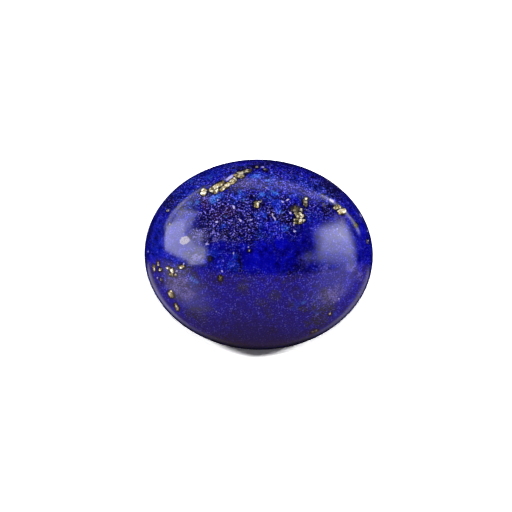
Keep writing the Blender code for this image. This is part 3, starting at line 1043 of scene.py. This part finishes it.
panel("left_softbox", (-PANEL_DISTANCE, 0, 0), (UPRIGHT, 0, UPRIGHT), LEFT_BOX)
panel("right_softbox", (PANEL_DISTANCE, 0, 0), (UPRIGHT, 0, UPRIGHT), RIGHT_BOX)
panel("back_sheet", (0, PANEL_DISTANCE, 0), (UPRIGHT, 0, 0), BACK_SHEET)
print("lit areas:", len(LEFT_BOX), len(RIGHT_BOX), len(BACK_SHEET))

# %% [markdown]
# ## The room
# The room is white to the camera, gives the table and the stone a weak even
# fill, and is dark in reflections except towards the front. There the
# polish mirrors the pale table: a reddish grey that dims downwards, with
# brighter lobes to either side and a shade close under the stone. A Light
# Path node tells these uses apart.

# %% The front of the table, as reflections see it
SKY_FILL = 0.08
CAMERA_WHITE = 1.0
FRONT_TINT = (0.46, 0.27, 0.28)
LOBES = [
    (-20, 18, 0.8, 0.78), (-148, 14, 0.85, 0.9), (-152, -58, 0.945, 0.55), (-120, -60, 0.95, 0.22),
    (-60, -60, 0.95, 0.14), (-28, -58, 0.92, 0.34),
]
NEAR_SHADE = (-90, -72, 0.88, 0.9)
FRONT_EDGE = (0.062, 0.105)
FRONT_DROOP = -0.25
TABLE_EDGE = (-0.985, -0.94)
DIMMING = (-0.95, 0.40, 0.33, 1.0)


def towards(bearing, rise):
    """The direction with a bearing from +X and a rise above the table, both in degrees."""
    flat = math.cos(math.radians(rise))
    across = (math.cos(math.radians(bearing)), math.sin(math.radians(bearing)))
    return (flat * across[0], flat * across[1], math.sin(math.radians(rise)))


world = bpy.data.worlds.new("studio")
bpy.context.scene.world = world
world.use_nodes = True
tree = world.node_tree
place = tree.nodes.new("ShaderNodeTexCoord")
direction = place.outputs["Generated"]
ray = tree.nodes.new("ShaderNodeLightPath")
apart = tree.nodes.new("ShaderNodeSeparateXYZ")
feed(tree, apart.inputs[0], direction)
rising = sums(tree, "MAXIMUM", apart.outputs["Z"], 0.0)
forward = sums(tree, "MULTIPLY", apart.outputs["Y"], -1.0)
frontness = sums(tree, "MULTIPLY_ADD", rising, FRONT_DROOP, forward)
front = ease(tree, frontness, *FRONT_EDGE)
front = sums(tree, "MULTIPLY", front, ease(tree, apart.outputs["Z"], *TABLE_EDGE))
bearing, rise, edge, level = NEAR_SHADE
nearness = vector_sums(tree, "DOT_PRODUCT", direction, towards(bearing, rise))
front = sums(tree, "MULTIPLY", front, ease(tree, nearness, edge, 1.0, 1.0, 1.0 - level))
falling = ease(tree, apart.outputs["Z"], *DIMMING)
lobes = 0.0
for bearing, rise, edge, level in LOBES:
    nearness = vector_sums(tree, "DOT_PRODUCT", direction, towards(bearing, rise))
    lobes = sums(tree, "ADD", ease(tree, nearness, edge, 1.0, 0.0, level), lobes)
haze = tree.nodes.new("ShaderNodeCombineXYZ")
for axis, tint in enumerate(FRONT_TINT):
    glow = sums(tree, "MULTIPLY_ADD", falling, tint, lobes)
    feed(tree, haze.inputs[axis], sums(tree, "MULTIPLY", front, glow))
print("lobes of light on the table's front:", len(LOBES))

# %% White to the camera, and a weak fill for the rest
plain = sums(tree, "MULTIPLY_ADD", CAMERA_WHITE - SKY_FILL, ray.outputs["Is Camera Ray"], SKY_FILL)
even = tree.nodes.new("ShaderNodeCombineXYZ")
for axis in range(3):
    feed(tree, even.inputs[axis], plain)
shown = tree.nodes.new("ShaderNodeMix")
shown.data_type = "VECTOR"
feed(tree, shown.inputs[0], ray.outputs["Is Glossy Ray"])
feed(tree, shown.inputs[4], even.outputs[0])
feed(tree, shown.inputs[5], haze.outputs[0])
background = tree.nodes["Background"]
feed(tree, background.inputs["Color"], shown.outputs[1])
world.cycles.sampling_method = "NONE"
print("fill of", SKY_FILL)

# %% [markdown]
# ## The lights
# The key is a sun, so that its light is the same all over the table. It
# stands high and a little behind, and throws the narrow shadow below the
# stone. The two softboxes are small square lamps at the sides, set back a
# little, which light the blue across the dome. Reflections see none of the
# three.

# %% A key above and behind, and a softbox on each side
KEY_ELEVATION = 74
KEY_SOFTNESS = 6
KEY_LEVEL = 0.28 * STUDIO_LIGHT
BOX_LEVEL = 1.03 * STUDIO_LIGHT
BOX_SIDE = 0.07
BOX_BEHIND = 0.42
BOX_RAISED = 0.39

tilt = math.radians(90 - KEY_ELEVATION)
bpy.ops.object.light_add(type="SUN", location=(0, 0.2, 0.5), rotation=(-tilt, 0, 0))
key = bpy.context.object
key.name = "key_light"
key.data.angle = math.radians(KEY_SOFTNESS)
key.data.energy = math.pi * KEY_LEVEL
key.visible_glossy = False
for side in (-1, 1):
    spot = PANEL_DISTANCE * Vector((side, BOX_BEHIND, BOX_RAISED))
    facing = spot.to_track_quat("Z", "Y").to_euler()
    bpy.ops.object.light_add(type="AREA", location=spot, rotation=facing)
    box = bpy.context.object
    box.name = "left_box_light" if side < 0 else "right_box_light"
    box.data.shape = "SQUARE"
    box.data.size = BOX_SIDE
    box.data.energy = math.pi * BOX_LEVEL * math.pi * spot.length_squared
    box.visible_glossy = False
    print(box.name, "of", round(box.data.energy, 3), "W")

# %% [markdown]
# ## The camera
# The picture looks straight down on the dome. The stone is turned about a
# degree and a third in the picture and lies a little off its middle, which
# the camera's turn and place repeat, so that the stone itself stays square
# to the frame. It measures 228.04 pixels in the photograph and is framed 0.8
# longer, because the bright table eats into its rendered edge. The camera's
# height counts from the stone's widest line, the top of the bevel.

# %% Camera
PICTURE_PIXELS = 512
STONE_PIXELS = 228.84
STONE_CENTRE = (258.65, 254.55)
STONE_TURN = 1.35
CAMERA_HEIGHT = 0.30
SENSOR = 36.0

picture_width = 2 * HALF_LENGTH * PICTURE_PIXELS / STONE_PIXELS
pixel = picture_width / PICTURE_PIXELS
turn = math.radians(STONE_TURN)
right = Vector((math.cos(turn), math.sin(turn), 0.0))
up = Vector((-math.sin(turn), math.cos(turn), 0.0))
middle = PICTURE_PIXELS / 2
place = -right * (STONE_CENTRE[0] - middle) * pixel - up * (middle - STONE_CENTRE[1]) * pixel
bpy.ops.object.camera_add(location=(place.x, place.y, BEVEL + CAMERA_HEIGHT), rotation=(0, 0, turn))
camera = bpy.context.object
camera.name = "camera"
camera.data.sensor_width = SENSOR
camera.data.lens = SENSOR * CAMERA_HEIGHT / picture_width
camera.data.clip_start = 0.01
camera.data.clip_end = 10.0
bpy.context.scene.camera = camera
print("lens", round(camera.data.lens, 1), "mm, picture", round(picture_width / MM, 2), "mm wide")

# %% Colour is shown plainly, so that the photograph's values can be matched
bpy.context.scene.view_settings.view_transform = "Standard"
bpy.context.scene.view_settings.look = "None"
print("view transform:", bpy.context.scene.view_settings.view_transform)
